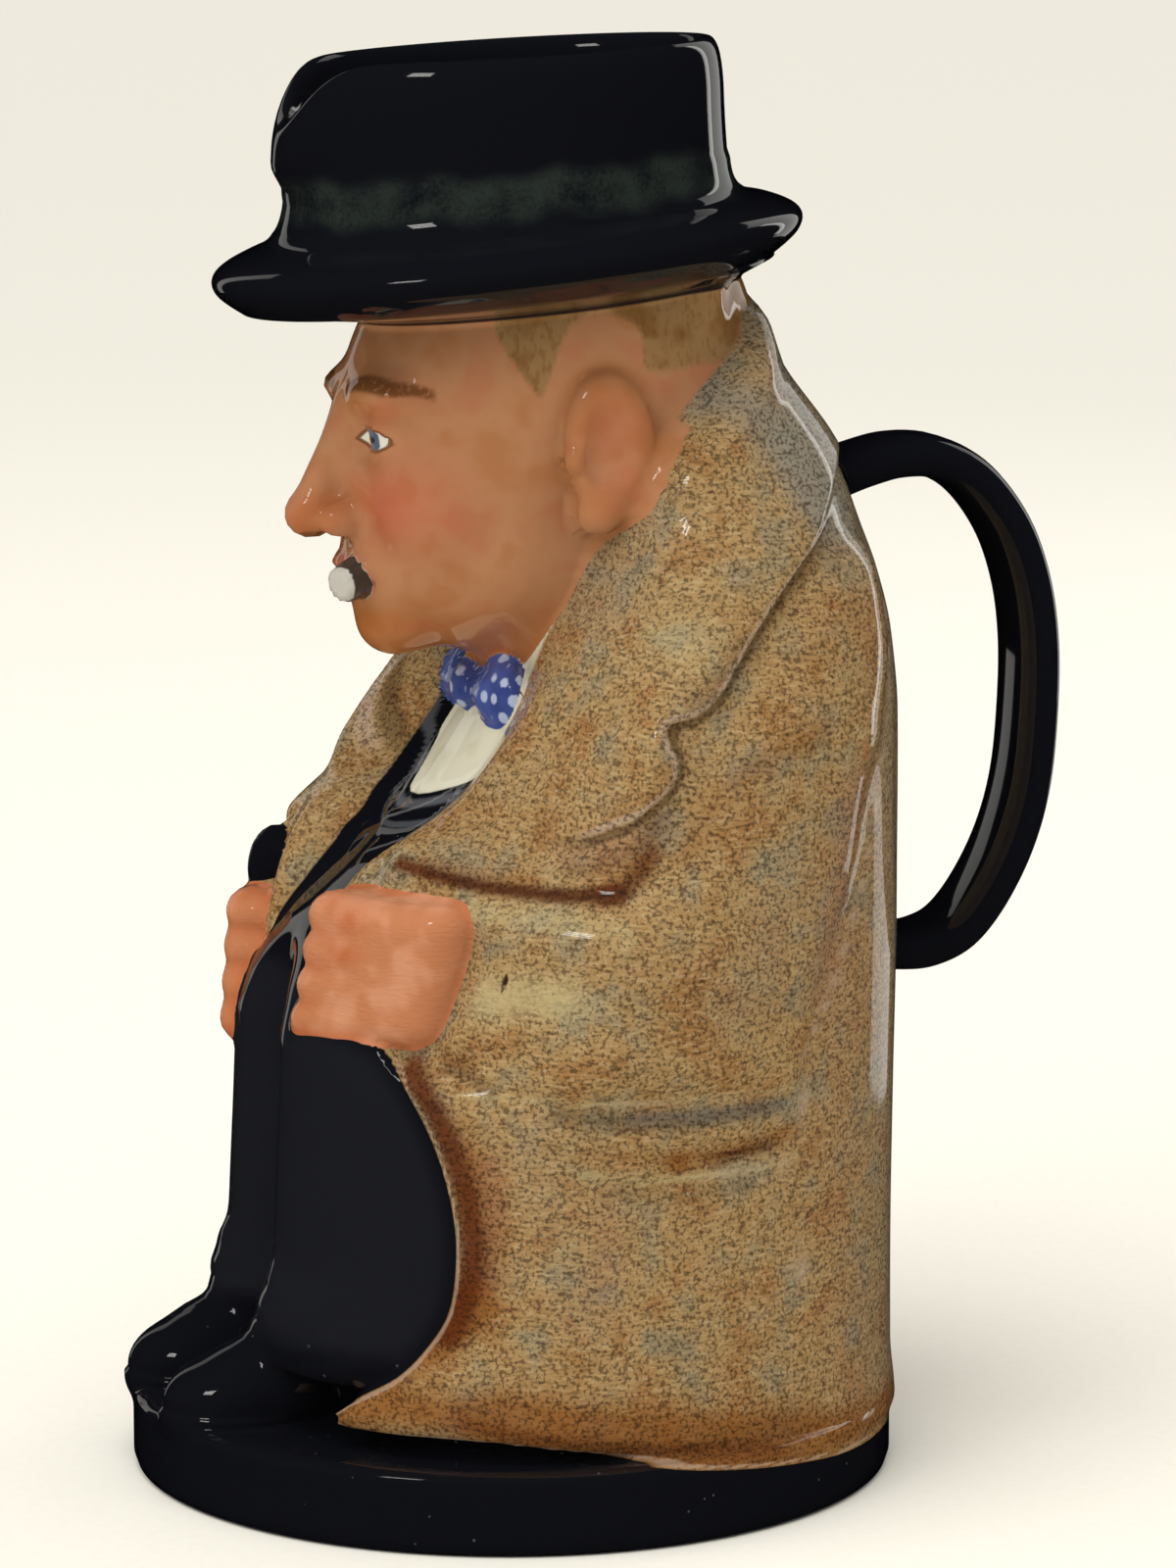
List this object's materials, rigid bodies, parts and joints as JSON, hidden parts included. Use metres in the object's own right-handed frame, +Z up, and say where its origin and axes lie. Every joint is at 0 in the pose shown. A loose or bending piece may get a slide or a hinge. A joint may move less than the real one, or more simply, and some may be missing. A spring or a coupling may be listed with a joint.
{
  "type": "character jug",
  "caption": "Glazed pottery jug shaped as a stout standing figure in a hat and overcoat, open at the crown with a pouring lip at the front and a loop handle at the back.",
  "frame": {"origin": "centre of the round base's underside", "axes": "the figure faces -Y, its back and the loop handle are towards +Y, +X is the figure's left, and +Z is up"},
  "size_m": [0.1228, 0.1534, 0.2288],
  "materials": {
    "glazed_pottery": "glossy glaze over painted earthenware"
  },
  "bodies": {
    "root": {"character_jug": "glazed_pottery"}
  },
  "joints": []
}
